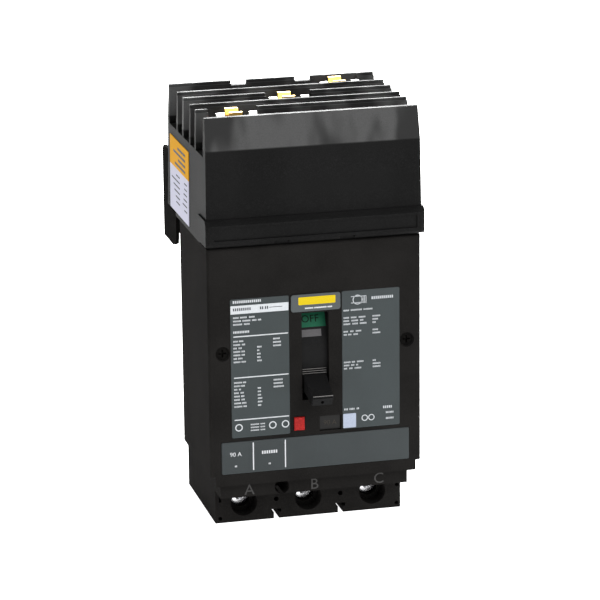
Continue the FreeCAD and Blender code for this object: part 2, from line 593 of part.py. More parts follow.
def blade_tip(x):
    return turned(box(x - 3.4, x + 3.4, 75.0, 76.5, 113.5, 120.0), CROSSBAR, OPEN_ANGLE)


def crossbar(blades):
    bar = cyl_x(CROSSBAR, CROSSBAR_R, -46.8, 46.8)
    necks = both_sides(lambda a, b: tube_gap(a, b), 13.6, 15.9)
    bar = cut(bar, necks + blades)
    y, z = lever_pin()
    arm = [(CROSSBAR[0] - 1, CROSSBAR[1] - 3), (CROSSBAR[0] + 2.4, CROSSBAR[1] + 3), (y + 2.2, z + 2.2)]
    arm += [(y - 2.2, z + 1.6), (y - 2.4, z - 1.8)]
    arms = both_sides(lambda a, b: prism(arm, a, b), 6.0, 7.4)
    pins = both_sides(lambda a, b: cyl_x((y, z), LINK_PIN_R, a, b), 6.0, 9.6)
    return fuse([bar] + arms + pins)


def tube_gap(a, b):
    return cyl_x(CROSSBAR, CROSSBAR_R + 1, a, b).cut(cyl_x(CROSSBAR, CROSSBAR_NECK_R, a - 1, b + 1))


def trip_bar():
    y, z = TRIP_BAR
    bar = cyl_x(TRIP_BAR, TRIP_BAR_R, -45.0, 45.0)
    tab = box(-12.4, -10.0, y - 1.3, y + 1.3, z - 13.0, z)
    arm = [(y, z - 2), (y, z + 2), (25.0, z + 2), (22.6, z + 2), (22.6, z - 0.4)]
    arms = both_sides(lambda a, b: prism(arm, a, b), 9.2, 10.7)
    paddles = []
    for _, x in POLES:
        paddles.append(box(x - 3, x + 3, y - 1, y + 1, z, z + 11))
    return fuse([bar, tab] + arms + paddles)


# ---- trip unit and load conductors ------------------------------------------------------
def load_strap(x):
    return box(x - STRAP_HALF, x + STRAP_HALF, LUG_Y[1] + 0.1, 66.5, 3.0, 44.0)


def bimetal(x):
    return box(x - 5, x + 5, LUG_Y[1] - 1.3, LUG_Y[1] + 0.1, 34.0, 77.0)


def magnet_yoke(x):
    back = box(x - 9.4, x + 9.4, 66.9, 68.5, 48.0, 62.0)
    legs = both_sides(lambda a, b: box(x + a, x + b, 52.0, 67.0, 48.0, 62.0), 7.6, 9.4)
    ears = both_sides(lambda a, b: box(x + a, x + b, 46.8, 56.0, 48.0, 52.0), 9.3, 10.6)
    return cut(fuse([back] + legs + ears), [cyl_x(ARMATURE_PIVOT, ARMATURE_PIN_R + FIT, x - 12, x + 12)])


def armature(x):
    body = box(x - 9.0, x + 9.0, 48.0, 49.6, 44.0, 66.0)
    window = box(x - 3.0, x + 3.0, 47.0, 51.0, 53.0, 58.0)
    pin = cyl_x(ARMATURE_PIVOT, ARMATURE_PIN_R, x - 10.6, x + 10.6)
    return fuse([cut(body, [window]), pin])


def braid(x):
    low = box(x - 4, x + 4, LUG_Y[1] + 0.1, 79.0, 70.5, 72.3)
    high = box(x - 4, x + 4, 77.2, 79.0, 70.5, 98.0)
    body = fuse([low, high])
    edges = [e for e in body.Edges if runs_along(e, 0) and e.BoundBox.YMax > 78.9 and e.BoundBox.ZMax < 72]
    return body.makeFillet(2.4, edges)


def lug(x):
    body = box(x - 10.8, x + 10.8, LUG_Y[0], LUG_Y[1], 3.0, 25.0)
    edges = [e for e in body.Edges if runs_along(e, 1)]
    body = body.makeFillet(1.6, edges)
    wire = cyl_z(x, WIRE_Y, WIRE_R, 2.0, 26.0)
    thread = cyl_y(x, LUG_Z, WIRE_SCREW_R + FIT, LUG_Y[0] - 1, WIRE_Y)
    return cut(body, [wire, thread])


def wire_screw(x):
    body = cyl_y(x, LUG_Z, WIRE_SCREW_R, LUG_Y[0] - 2.5, WIRE_Y - WIRE_R - 0.8)
    turns = [radians(60 * k) for k in range(7)]
    corners = [V(x + 2.5 * cos(t), LUG_Y[0] - 3, LUG_Z + 2.5 * sin(t)) for t in turns]
    return cut(body, [Part.Face(Part.makePolygon(corners)).extrude(V(0, 5, 0))])


def hold_down_screw():
    x, z = HOLD_DOWN
    head_y = 19.5
    head = cyl_y(x, z, 3.7, head_y, head_y + 4)
    shank = cyl_y(x, z, 2.3, head_y + 3.9, REAR_Y + 0.1)
    thread = cyl_y(x, z, 2.5, REAR_Y, REAR_Y + 6)
    cross = [box(x - 2.4, x + 2.4, head_y - 1, head_y + 1.4, z - 0.5, z + 0.5)]
    cross.append(box(x - 0.5, x + 0.5, head_y - 1, head_y + 1.4, z - 2.4, z + 2.4))
    return cut(fuse([head, shank, thread]), cross)


def arc_plate(x, y):
    body = box(x - 11, x + 11, y, y + 1.5, 118.0, 146.0)
    notch = box(x - 4.6, x + 4.6, y - 1, y + 3, 117.0, 129.0)
    corners = [V(x - 4.6, y - 1, 129), V(x + 4.6, y - 1, 129), V(x, y - 1, 134)]
    vee = Part.Face(Part.makePolygon(corners + corners[:1])).extrude(V(0, 4, 0))
    return cut(body, [notch, vee])


def trip_button():
    x, z = BUTTON
    w, h = BUTTON_SIZE
    head = box(x - w / 2, x + w / 2, -0.7, 6.0, z - h / 2, z + h / 2)
    edges = [e for e in head.Edges if e.BoundBox.YMax < -0.69]
    head = head.makeFillet(0.5, edges)
    rod = box(x - 3.1, x - 1.1, 5.5, TRIP_BAR[0] - 1.6, 52.0, 54.6)
    post = box(x - 3.1, x - 1.1, 5.5, 8.0, 52.0, z)
    return fuse([head, rod, post])


# ---- write the parts --------------------------------------------------------------------
save("front_cover", [front_cover()])
save("base_housing", [base_housing()])
flat_plates()
save("cover_screws", [cross_head_screw(x, z, 1.2, 3.3, 2.4, SCREW_R, 36.0) for x, z in COVER_SCREWS])
save("case_screws", [case_screw(x, z) for x, z in CASE_SCREWS])
line_housing()
save("rear_bracket", [rear_bracket()])
save("bracket_screws", bracket_screws())

for name, x in POLES:
    y = BAR_Y[name]
    save("jaw_fingers_" + name, [jaw_fingers(x, y)])
    save("line_strap_" + name, [line_strap(x, y)])
    save("arc_plates_" + name, [arc_plate(x, 48.0 + 3.8 * k) for k in range(7)])
    save("load_lug_" + name, [lug(x)])
    save("wire_screw_" + name, [wire_screw(x)])
    save("armature_" + name, [armature(x)])
save("jaw_blocks", [jaw_block(x, BAR_Y[name], side) for name, x in POLES for side in (-1, 1)])
save("load_straps", [load_strap(x) for _, x in POLES])
save("jaw_springs", [s for name, x in POLES for s in jaw_springs(x, BAR_Y[name])])
save("fixed_contacts", [box(x - 4, x + 4, STRAP_Y - 1.6, STRAP_Y, 112.5, 121.0) for _, x in POLES])
walls = []
for _, x in POLES:
    walls += both_sides(lambda a, b: box(x + a, x + b, 46, 76, 117, 147), 11.0, 12.3)
save("arc_chute_walls", walls)
save("bimetals", [bimetal(x) for _, x in POLES])
save("magnet_yokes", [magnet_yoke(x) for _, x in POLES])
save("flexible_braids", [braid(x) for _, x in POLES])

blades = [moving_blade(x) for _, x in POLES]
save("moving_contact_blades", blades)
save("moving_contact_tips", [blade_tip(x) for _, x in POLES])
save("crossbar", [crossbar(blades)])
save("mechanism_side_frames", side_frames())
save("cradle", [cradle()])
save("upper_links", link(LINK_TOP, KNEE, 10.0, 11.5))
save("lower_links", link(lever_pin(), KNEE, 8.0, 9.5))
save("knee_pin", [cyl_x(KNEE, KNEE_PIN_R, -9.5, 9.5)])
save("trip_bar", [trip_bar()])

handle = toggle_handle()
save("toggle_handle", [handle])
save("toggle_shutter", [toggle_shutter(handle)])
save("off_flag", [flag(36.8, 48.8)])
save("on_flag", [flag(-48.8, -36.8)])
save("shutter_bar", [flag(30.2, 35.2, 4.2)])
save("toggle_yoke", [toggle_yoke()])
save("main_springs", main_springs())
save("trip_button", [trip_button()])
spring = coil(BUTTON[0] + 1.6, 9.4, SPRING_SEAT_Y - 0.4, BUTTON[1], 1.9, 0.35, 3)
save("trip_button_spring", [spring])
save("hold_down_screw", [hold_down_screw()])
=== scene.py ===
# Three-pole molded case breaker: finishes, printed plates and small fittings on the fixed frame.
#
# X runs across the poles, Y from the operating face to the back, Z up from the load end.
# Sizes below are in metres, and heights are measured from the load end.
import json
import math
import random

import bpy
from mathutils import Matrix, Vector


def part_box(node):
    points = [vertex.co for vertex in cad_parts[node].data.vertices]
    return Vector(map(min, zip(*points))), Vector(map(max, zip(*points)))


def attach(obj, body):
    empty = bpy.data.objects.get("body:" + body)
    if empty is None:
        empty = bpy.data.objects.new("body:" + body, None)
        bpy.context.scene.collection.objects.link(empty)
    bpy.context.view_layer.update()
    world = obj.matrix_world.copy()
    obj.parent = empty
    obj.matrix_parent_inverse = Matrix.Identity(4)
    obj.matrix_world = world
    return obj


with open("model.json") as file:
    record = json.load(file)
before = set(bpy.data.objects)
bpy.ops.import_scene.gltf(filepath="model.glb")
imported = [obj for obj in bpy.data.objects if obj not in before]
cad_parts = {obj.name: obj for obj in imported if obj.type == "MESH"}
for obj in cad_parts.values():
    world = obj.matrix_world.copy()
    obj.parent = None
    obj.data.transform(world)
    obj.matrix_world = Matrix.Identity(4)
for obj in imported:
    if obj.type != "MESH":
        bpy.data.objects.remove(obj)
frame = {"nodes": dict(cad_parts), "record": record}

bl_info = {
    "name": "Molded case breaker",
    "version": (1, 0, 0),
    "blender": (4, 5, 0),
    "location": "View3D > Sidebar > Breaker",
    "description": "Finishes, printed plates and small fittings of a three-pole breaker",
    "category": "Object",
}

MM = 0.001
FACE_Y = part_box("front_cover")[0][1]      # front plane of the cover
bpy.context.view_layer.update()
POLE_PITCH = 35.0 * MM
PHASES = ("A", "B", "C")
TOGGLE_AXIS_Y = FACE_Y + 46.0 * MM
TOGGLE_AXIS_Z = 93.8 * MM
TOGGLE_TILT = -18.0                        # degrees, where the handle rests when off
FLAG_R = 43.36 * MM                        # face of the curved flags from the toggle's axis
PRINT_T = 0.05 * MM                        # thickness of a printed or moulded mark


# ---- shader maths -----------------------------------------------------------------------
class Value:
    """A number that varies over a surface, so that a formula on values adds its Math nodes."""

    def __init__(self, shade, socket):
        self.shade = shade
        self.socket = socket

    def maths(self, operation, first, second=0.0):
        node = self.shade.node("ShaderNodeMath", {"operation": operation}, {0: first, 1: second})
        return Value(self.shade, node.outputs[0])

    def __add__(self, other):
        return self.maths("ADD", self, other)

    __radd__ = __add__

    def __sub__(self, other):
        return self.maths("SUBTRACT", self, other)

    def __rsub__(self, other):
        return self.maths("SUBTRACT", other, self)

    def __mul__(self, other):
        return self.maths("MULTIPLY", self, other)

    __rmul__ = __mul__

    def __gt__(self, other):
        return self.maths("GREATER_THAN", self, other)

    def step(self, low, high):
        """0 below low, 1 above high, smooth between them."""
        settings = {"interpolation_type": "SMOOTHSTEP"}
        node = self.shade.node("ShaderNodeMapRange", settings, {0: self, 1: low, 2: high})
        return Value(self.shade, node.outputs[0])


class Shade:
    """A node material with a Principled shader."""

    def __init__(self, name, **plain):
        self.material = bpy.data.materials.new(name)
        self.material.use_nodes = True
        self.tree = self.material.node_tree
        self.shader = self.tree.nodes["Principled BSDF"]
        for socket, number in plain.items():
            self.shader.inputs[socket.replace("_", " ")].default_value = number

    def node(self, kind, settings, values):
        made = self.tree.nodes.new(kind)
        for name, setting in settings.items():
            setattr(made, name, setting)
        for name, value in values.items():
            self.feed(made.inputs[name], value)
        return made

    def feed(self, socket, value):
        if isinstance(value, Value):
            value = value.socket
        if isinstance(value, bpy.types.NodeSocket):
            self.tree.links.new(value, socket)
        else:
            socket.default_value = value

    def spot(self, stretch=(1.0, 1.0, 1.0)):
        """The point on the piece, squeezed along each axis to draw a pattern out."""
        point = self.node("ShaderNodeTexCoord", {}, {}).outputs["Object"]
        values = {"Vector": point, "Scale": stretch}
        return self.node("ShaderNodeMapping", {}, values).outputs["Vector"]

    def along(self, axis):
        parts = self.node("ShaderNodeSeparateXYZ", {}, {"Vector": self.spot()})
        return Value(self, parts.outputs[axis])

    def noise(self, scale, detail=2.0, stretch=(1.0, 1.0, 1.0)):
        values = {"Vector": self.spot(stretch), "Scale": scale, "Detail": detail}
        made = self.node("ShaderNodeTexNoise", {}, values)
        return Value(self, made.outputs[0])

    def blend(self, factor, first, second):
        """One colour where factor is 0 and another where it is 1."""
        settings = {"data_type": "RGBA", "clamp_factor": True}
        made = self.node("ShaderNodeMix", settings, {0: factor, 6: first, 7: second})
        return made.outputs[2]

    def finish(self, colour, roughness, height=None, depth=0.0):
        self.feed(self.shader.inputs["Base Color"], colour)
        self.feed(self.shader.inputs["Roughness"], roughness)
        if height is not None:
            bump = self.node("ShaderNodeBump", {}, {"Height": height, "Strength": 0.6, "Distance": depth})
            self.feed(self.shader.inputs["Normal"], bump.outputs[0])
        return self.material


def rgba(colour, lift=1.0):
    return tuple(channel * lift for channel in colour[:3]) + (1.0,)


# ---- finishes ---------------------------------------------------------------------------
def moulded(name, colour, rough, grain=2600.0, depth=0.06 * MM, gloss=0.03):
    """Matt thermoset with an eroded grain and faint flow clouds."""
    shade = Shade(name, Specular_IOR_Level=gloss)
    grain_field = shade.noise(grain, 3.0)
    clouds = shade.noise(38.0, 4.0)
    colour_field = shade.blend(clouds.step(0.3, 0.7), rgba(colour, 0.86), rgba(colour, 1.16))
    speck = shade.blend((grain_field > 0.58) * 0.35, colour_field, rgba(colour, 2.6))
    return shade.finish(speck, rough + 0.12 * (clouds - 0.5) + 0.1 * (grain_field - 0.5), grain_field, depth)


def housing_with_painted_sheen(name, colour, line_z):
    """Thermoplastic with a satin grain below the lead-in, and above it streaks of painted sheen, five to
    fifteen times lighter than the moulding, where the roughness is also lower.
    """
    shade = Shade(name, Specular_IOR_Level=0.05)
    grain = shade.noise(2600.0, 2.0)
    sheen_streak_noise = shade.noise(52.0, 2.0, (1.0, 1.0, 0.35))
    blotch = shade.noise(30.0, 3.0, (1.0, 1.0, 0.6))
    above = shade.along(2).step(line_z - 0.6 * MM, line_z + 0.6 * MM)
    marks = sheen_streak_noise.step(0.42, 0.6)
    body = shade.blend(blotch.step(0.3, 0.7), rgba(colour, 0.75), rgba(colour, 1.25))
    # painted sheen: above the lead-in the colour is lifted five to fifteen times in streaks, standing in for
    # light falling on the upper housing
    painted_sheen = shade.blend(marks, rgba(colour, 5.0), rgba(colour, 15.0))
    plain = shade.blend(above, body, painted_sheen)
    speck = shade.blend(grain.step(0.45, 0.7) * 0.3, plain, rgba(colour, 5.0))
    rough = 0.62 + 0.1 * (blotch - 0.5) - above * 0.06 * marks
    return shade.finish(speck, rough, grain, 0.05 * MM)


def plate_finish(name, colour, rough=0.42):
    """A smooth printed plate with a slight orange peel and a few scuffs."""
    shade = Shade(name, Specular_IOR_Level=0.2)
    peel = shade.noise(900.0, 2.0)
    tone = shade.noise(60.0, 3.0)
    scuff = shade.noise(300.0, 4.0, (1.0, 1.0, 0.12)).step(0.66, 0.76)
    colour_field = shade.blend(tone.step(0.25, 0.75), rgba(colour, 0.94), rgba(colour, 1.06))
    worn = shade.blend(scuff * 0.25, colour_field, rgba(colour, 1.5))
    return shade.finish(worn, rough + 0.1 * scuff + 0.06 * (tone - 0.5), peel, 0.02 * MM)


def ink(name, colour, rough=0.5):
    """Printing ink, a little uneven where the screen laid it thin."""
    shade = Shade(name, Specular_IOR_Level=0.08)
    thin = shade.noise(1800.0, 3.0).step(0.35, 0.75)
    colour_field = shade.blend(thin, rgba(colour, 0.88), rgba(colour))
    return shade.finish(colour_field, rough + 0.1 * thin, thin, 0.01 * MM)


def metal(name, colour, rough, stretch=(1.0, 1.0, 0.04), grain=1400.0):
    """Rolled or turned metal with fine draw lines and tarnish."""
    shade = Shade(name, Metallic=1.0)
    lines = shade.noise(grain, 2.0, stretch)
    tarnish = shade.noise(110.0, 4.0)
    colour_field = shade.blend(tarnish.step(0.35, 0.7), rgba(colour), rgba(colour, 0.8))
    roughness = rough + 0.14 * (lines - 0.5) + 0.12 * tarnish.step(0.4, 0.8)
    return shade.finish(colour_field, roughness, lines, 0.02 * MM)


def fibre(name, colour):
    """Pressed insulating fibre with a felted surface."""
    shade = Shade(name)
    felt = shade.noise(700.0, 5.0, (1.0, 0.4, 1.0))
    colour_field = shade.blend(felt, rgba(colour, 0.75), rgba(colour, 1.1))
    return shade.finish(colour_field, 0.85 + 0.1 * (felt - 0.5), felt, 0.08 * MM)


def two_tone_paper(name, upper, lower, change_z):
    """A coated paper label, one colour over the other."""
    shade = Shade(name, Specular_IOR_Level=0.03)
    paper = shade.noise(1500.0, 4.0)
    top = shade.along(2) > change_z
    colour_field = shade.blend(top, rgba(lower), rgba(upper))
    mottled = shade.blend(paper.step(0.3, 0.8) * 0.012, colour_field, (0.9, 0.88, 0.85, 1.0))
    return shade.finish(mottled, 0.7 + 0.15 * (paper - 0.5), paper, 0.01 * MM)


def smoky_window(name):
    """A smoky window over a dark ground with hairlines from wiping."""
    shade = Shade(name, Specular_IOR_Level=0.15)
    wipe = shade.noise(500.0, 3.0, (0.1, 1.0, 1.0))
    ground = shade.blend(wipe.step(0.4, 0.8), (0.006, 0.0057, 0.0053, 1.0), (0.009, 0.0083, 0.0078, 1.0))
    return shade.finish(ground, 0.3 + 0.12 * wipe, wipe, 0.005 * MM)


def make_finishes(look):
    """Every finish by the name of the record's slot."""
    made = {
        "case_black": moulded("case moulding", look.case_colour, 0.78, gloss=0.005),
        "housing_black": housing_with_painted_sheen("housing moulding", look.housing_colour, look.lead_in_height),
        "toggle_black": moulded("toggle moulding", (0.009, 0.009, 0.0092), 0.42, 3200.0, 0.03 * MM),
        "crossbar_brown": moulded("crossbar moulding", (0.12, 0.07, 0.045), 0.5),
        "label_grey": plate_finish("data plate", look.plate_colour),
        "strip_grey": plate_finish("rating strip", look.strip_colour),
        "name_grey": plate_finish("name plate", (0.052, 0.06, 0.062)),
        "window_dark": smoky_window("rating window"),
        "flag_green": ink("green flag", (0.010, 0.085, 0.045)),
        "flag_red": ink("red flag", (0.55, 0.03, 0.025)),
        "bar_silver": ink("silver bar", (0.09, 0.087, 0.09)),
        "button_red": moulded("button moulding", (0.25, 0.010, 0.009), 0.45, 2200.0, 0.02 * MM, 0.1),
        "label_paper": two_tone_paper("side label", (0.52, 0.25, 0.002), (0.44, 0.44, 0.53), 0.181),
        "zinc_steel": metal("zinc steel", (0.62, 0.62, 0.6), 0.32),
        "black_steel": moulded("blackened steel", (0.0045, 0.0043, 0.004), 0.85, 1800.0, 0.03 * MM, 0.004),
        "bright_zinc": metal("bright zinc", (0.95, 0.95, 0.97), 0.16),
        "spring_steel": metal("spring steel", (0.5, 0.5, 0.5), 0.28),
        "copper_strap": metal("rolled copper", (0.78, 0.36, 0.2), 0.33),
        "silver_plate": metal("silver plate", (0.95, 0.95, 0.94), 0.4),
        "jaw_brass": metal("brass", (0.95, 0.58, 0.13), 0.38),
        "contact_silver": metal("contact silver", (0.84, 0.84, 0.82), 0.3),
        "lug_aluminium": metal("tinned aluminium", (0.82, 0.83, 0.84), 0.3, (1.0, 0.06, 1.0)),
        "fibre_white": fibre("insulating fibre", (0.7, 0.66, 0.57)),
        "bimetal_steel": metal("bimetal", (0.62, 0.58, 0.52), 0.34),
    }
    return made


# ---- modelling helpers ------------------------------------------------------------------
def deselect():
    if bpy.context.object and bpy.context.object.mode != "OBJECT":
        bpy.ops.object.mode_set(mode="OBJECT")
    bpy.ops.object.select_all(action="DESELECT")


def settle(obj, name, body, material):
    """Puts the place into the mesh, names the piece and lets it ride on its body."""
    deselect()
    obj.select_set(True)
    bpy.context.view_layer.objects.active = obj
    bpy.ops.object.transform_apply(location=True, rotation=True, scale=True)
    obj.name = name
    obj.data.name = name
    obj.data.materials.clear()
    obj.data.materials.append(material)
    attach(obj, body)
    return obj


def slab(x0, x1, y0, y1, z0, z1, corner):
    """A plate facing front with rounded corners."""
    deselect()
    size = (x1 - x0, y1 - y0, z1 - z0)
    middle = ((x0 + x1) / 2, (y0 + y1) / 2, (z0 + z1) / 2)
    bpy.ops.mesh.primitive_cube_add(size=1.0, location=middle, scale=size)
    obj = bpy.context.object
    bpy.ops.object.transform_apply(location=True, rotation=True, scale=True)
    for edge in obj.data.edges:
        a, b = (obj.data.vertices[i].co for i in edge.vertices)
        edge.select = abs(a.y - b.y) > size[1] * 0.5
    for face in obj.data.polygons:
        face.select = False
    bpy.ops.object.mode_set(mode="EDIT")
    bpy.ops.mesh.select_mode(type="EDGE")
    bpy.ops.mesh.bevel(offset=corner, segments=3, affect="EDGES")
    bpy.ops.object.mode_set(mode="OBJECT")
    return obj


def joined(objects):
    deselect()
    for obj in objects:
        obj.select_set(True)
    bpy.context.view_layer.objects.active = objects[0]
    if len(objects) > 1:
        bpy.ops.object.join()
    return bpy.context.view_layer.objects.active


def mark(x0, x1, z0, z1, y, corner=0.1 * MM):
    """A printed mark that stands a hair off the surface at y."""
    return slab(x0, x1, y - PRINT_T, y + PRINT_T, z0, z1, min(corner, (z1 - z0) * 0.3, (x1 - x0) * 0.3))


def lettering(text, size, x, y, z, thick=PRINT_T):
    """Plain figures facing front, centred on x."""
    deselect()
    bpy.ops.object.text_add(rotation=(math.radians(90), 0, 0))
    obj = bpy.context.object
    obj.data.body = text
    obj.data.size = size
    obj.data.extrude = thick
    obj.data.align_x = "CENTER"
    obj.data.resolution_u = 4
    bpy.ops.object.convert(target="MESH")
    obj = bpy.context.object
    obj.location = (x, y, z)
    bpy.ops.object.transform_apply(location=True, rotation=True, scale=True)
    return obj


def ticks(x, width, z, height, y):
    """A word's worth of short upright ticks, one modelled and the rest in a row beside it."""
    pitch = height * 0.72
    obj = mark(x, x + pitch * 0.62, z - height / 2, z + height / 2, y, 0.06 * MM)
    row = obj.modifiers.new("row", "ARRAY")
    row.use_relative_offset = False
    row.use_constant_offset = True
    row.constant_offset_displace = (pitch, 0.0, 0.0)
    row.count = max(1, round(width / pitch))
    bpy.ops.object.modifier_apply(modifier=row.name)
    return obj


def dashes(x, z, pattern, height, gap, y):
    """A row of words in plain ticks, which stands for a line of small print."""
    made = []
    for width in pattern:
        if width > 0:
            made.append(ticks(x, width, z, height, y))
        x += abs(width) + gap
    return made


# ---- settings ---------------------------------------------------------------------------
class BreakerLook(bpy.types.PropertyGroup):
    """Colours and sizes that a user would change."""

    case_colour: bpy.props.FloatVectorProperty(
        name="Case colour", description="Colour of the cover and base", size=3, subtype="COLOR",
        min=0.0, max=1.0, default=(0.0098, 0.0093, 0.0089))
    housing_colour: bpy.props.FloatVectorProperty(
        name="Housing colour", description="Colour of the plug-on line housing", size=3,
        subtype="COLOR", min=0.0, max=1.0, default=(0.0042, 0.0042, 0.0042))
    plate_colour: bpy.props.FloatVectorProperty(
        name="Data plate colour", description="Colour of the two data plates", size=3,
        subtype="COLOR", min=0.0, max=1.0, default=(0.0255, 0.0325, 0.034))
    strip_colour: bpy.props.FloatVectorProperty(
        name="Rating strip colour", description="Colour of the rating strip", size=3,
        subtype="COLOR", min=0.0, max=1.0, default=(0.0245, 0.030, 0.0315))
    # this height is also where the painted sheen on the housing begins
    lead_in_height: bpy.props.FloatProperty(
        name="Lead-in height", description="Height where the housing's lead-in starts",
        unit="LENGTH", default=205.4 * MM)
    edge_radius: bpy.props.FloatProperty(
        name="Edge radius", description="Width of the small radius on moulded edges",
        unit="LENGTH", default=0.35 * MM)
    print_height: bpy.props.FloatProperty(
        name="Print height", description="Height of one line of small print",
        unit="LENGTH", default=0.85 * MM)


class StageLook(bpy.types.PropertyGroup):
    """Floor and lights."""

    floor_colour: bpy.props.FloatVectorProperty(
        name="Floor colour", description="Colour of the plain floor", size=3, subtype="COLOR",
        min=0.0, max=1.0, default=(0.9, 0.9, 0.9))
    key_power: bpy.props.FloatProperty(
        name="Key light", description="Power of the large key light", unit="POWER", default=44.0)
    fill_power: bpy.props.FloatProperty(
        name="Fill light", description="Power of the fill light", unit="POWER", default=2.0)
    rim_power: bpy.props.FloatProperty(
        name="Rim light", description="Power of the low light behind", unit="POWER", default=140.0)
    sky: bpy.props.FloatProperty(
        name="Room light", description="Strength of the even light of the room", default=0.22)
    floor_glow: bpy.props.FloatProperty(
        name="Floor glow", description="Light of the floor's lit back", default=1.1)
    top_power: bpy.props.FloatProperty(
        name="Top light", description="Power of the light overhead", unit="POWER", default=22.0)


def settings():
    return bpy.context.scene.breaker_look


# ---- operators --------------------------------------------------------------------------
class BREAKER_OT_finish_nodes(bpy.types.Operator):
    """Give every design piece its finish, and moulded shells their small edge radius"""

    bl_idname = "breaker.finish_nodes"
    bl_label = "Finish the design pieces"

    shells = ("front_cover", "base_housing", "line_housing_front", "line_housing_rear",
              "rear_bracket", "toggle_handle", "rating_strip", "name_plate", "left_label",
              "right_label")

    def execute(self, context):
        look = settings()
        finishes = make_finishes(look)
        slots = {row["node"]: row["material_slot"] for row in frame["record"]["subparts"]}
        for name, obj in frame["nodes"].items():
            finish = finishes[slots[name]]
            if not obj.material_slots:
                obj.data.materials.append(finish)
            for place in obj.material_slots:
                place.material = finish
        for name in self.shells:
            self.soften(frame["nodes"][name], look.edge_radius)
        return {"FINISHED"}

    def soften(self, obj, width):
        weld = obj.modifiers.new("merge facets", "WELD")
        weld.merge_threshold = 0.002 * MM
        flat = obj.modifiers.new("flat faces", "DECIMATE")
        flat.decimate_type = "DISSOLVE"
        flat.angle_limit = math.radians(1.0)
        bevel = obj.modifiers.new("edge radius", "BEVEL")
        bevel.width = min(width, min(obj.dimensions) * 0.2)
        bevel.segments = 2
        bevel.limit_method = "ANGLE"
        bevel.angle_limit = math.radians(50)
        bevel.harden_normals = True


class BREAKER_OT_left_plate_print(bpy.types.Operator):
    """Print the left data plate: a pale band, three rules, blocks of short dashes and rings"""

    bl_idname = "breaker.left_plate_print"
    bl_label = "Left plate print"

    def execute(self, context):
        low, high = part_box("left_label")
        y = low[1]
        left = low[0] + 1.5 * MM
        right = high[0] - 0.6 * MM
        h = settings().print_height
        random.seed(3)
        band = [mark(low[0] + 0.2 * MM, high[0] - 0.2 * MM, 119.2 * MM, 123.6 * MM, y)]
        for z in (107.1, 85.0, 62.2):
            band.append(mark(left, right, (z - 0.28) * MM, (z + 0.28) * MM, y))
        band += dashes(left, 125.6 * MM, (15 * MM,), 1.4 * MM, 0, y)
        for z, count in ((117.2, 3), (115.4, 4), (113.6, 2)):
            band += dashes(left, z * MM, [random.uniform(2, 5.5) * MM for _ in range(count)], h, h, y)
        band += dashes(left, 109.5 * MM, (9 * MM,), 1.2 * MM, 0, y)
        band += self.table(left, y, h, 104.6, 7, 1.85)
        band += self.table(left, y, h, 82.4, 8, 1.85)
        band += self.badges(left, y)
        settle(joined(band), "left_plate_print", "case", ink("plate ink", (0.5, 0.52, 0.54)))
        words = (10 * MM, -3 * MM, 2 * MM, 2 * MM)
        dark = dashes(left, 121.6 * MM, words, 1.5 * MM, 0.6 * MM, y - PRINT_T)
        dark.append(mark(left + 19 * MM, left + 26 * MM, 121.45 * MM, 121.75 * MM, y - PRINT_T))
        dark_ink = ink("dark ink", (0.05, 0.055, 0.06))
        settle(joined(dark), "left_plate_dark_print", "case", dark_ink)
        return {"FINISHED"}

    def table(self, left, y, h, top, rows, pitch):
        """Rows of short dashes under two or three headings."""
        made = []
        for row in range(rows):
            z = (top - pitch * row) * MM
            widths = [random.uniform(1.6, 4.2) * MM, random.uniform(1.0, 2.6) * MM]
            made += dashes(left, z, widths, h, h * 0.8, y)
            if row > 1:
                made += dashes(left + 12.5 * MM, z, [random.uniform(1.4, 2.8) * MM], h, h, y)
            if row in (0, 1, 2):
                made += dashes(left + 21 * MM, z, [random.uniform(2.4, 5.5) * MM], h, h, y)
        return made

    def badges(self, left, y):
        """Three plain round badges drawn as rings, and dashes between them."""
        made = []
        for x in (left + 2.2 * MM, left + 20.2 * MM, left + 27.0 * MM):
            made.append(ring_mark(x, 58.0 * MM, 2.0 * MM, 1.45 * MM, y))
        for z in (59.2, 57.6, 56.0):
            made += dashes(left + 8.5 * MM, z * MM, (4.5 * MM, 2.5 * MM), 0.7 * MM, 0.7 * MM, y)
        return made


def ring_mark(x, z, outer, inner, y):
    """A flat printed ring facing front."""
    deselect()
    bpy.ops.mesh.primitive_circle_add(vertices=28, radius=outer, fill_type="NGON",
                                      location=(x, y, z), rotation=(math.radians(90), 0, 0))
    obj = bpy.context.object
    bpy.ops.object.transform_apply(location=True, rotation=True, scale=True)
    bpy.ops.object.mode_set(mode="EDIT")
    bpy.ops.mesh.select_all(action="SELECT")
    bpy.ops.mesh.inset(thickness=outer - inner)
    bpy.ops.mesh.delete(type="FACE")
    bpy.ops.mesh.select_all(action="SELECT")
    bpy.ops.object.mode_set(mode="OBJECT")
    thick = obj.modifiers.new("thickness", "SOLIDIFY")
    thick.thickness = 2 * PRINT_T
    thick.offset = 0.0
    bpy.ops.object.modifier_apply(modifier=thick.name)
    return obj


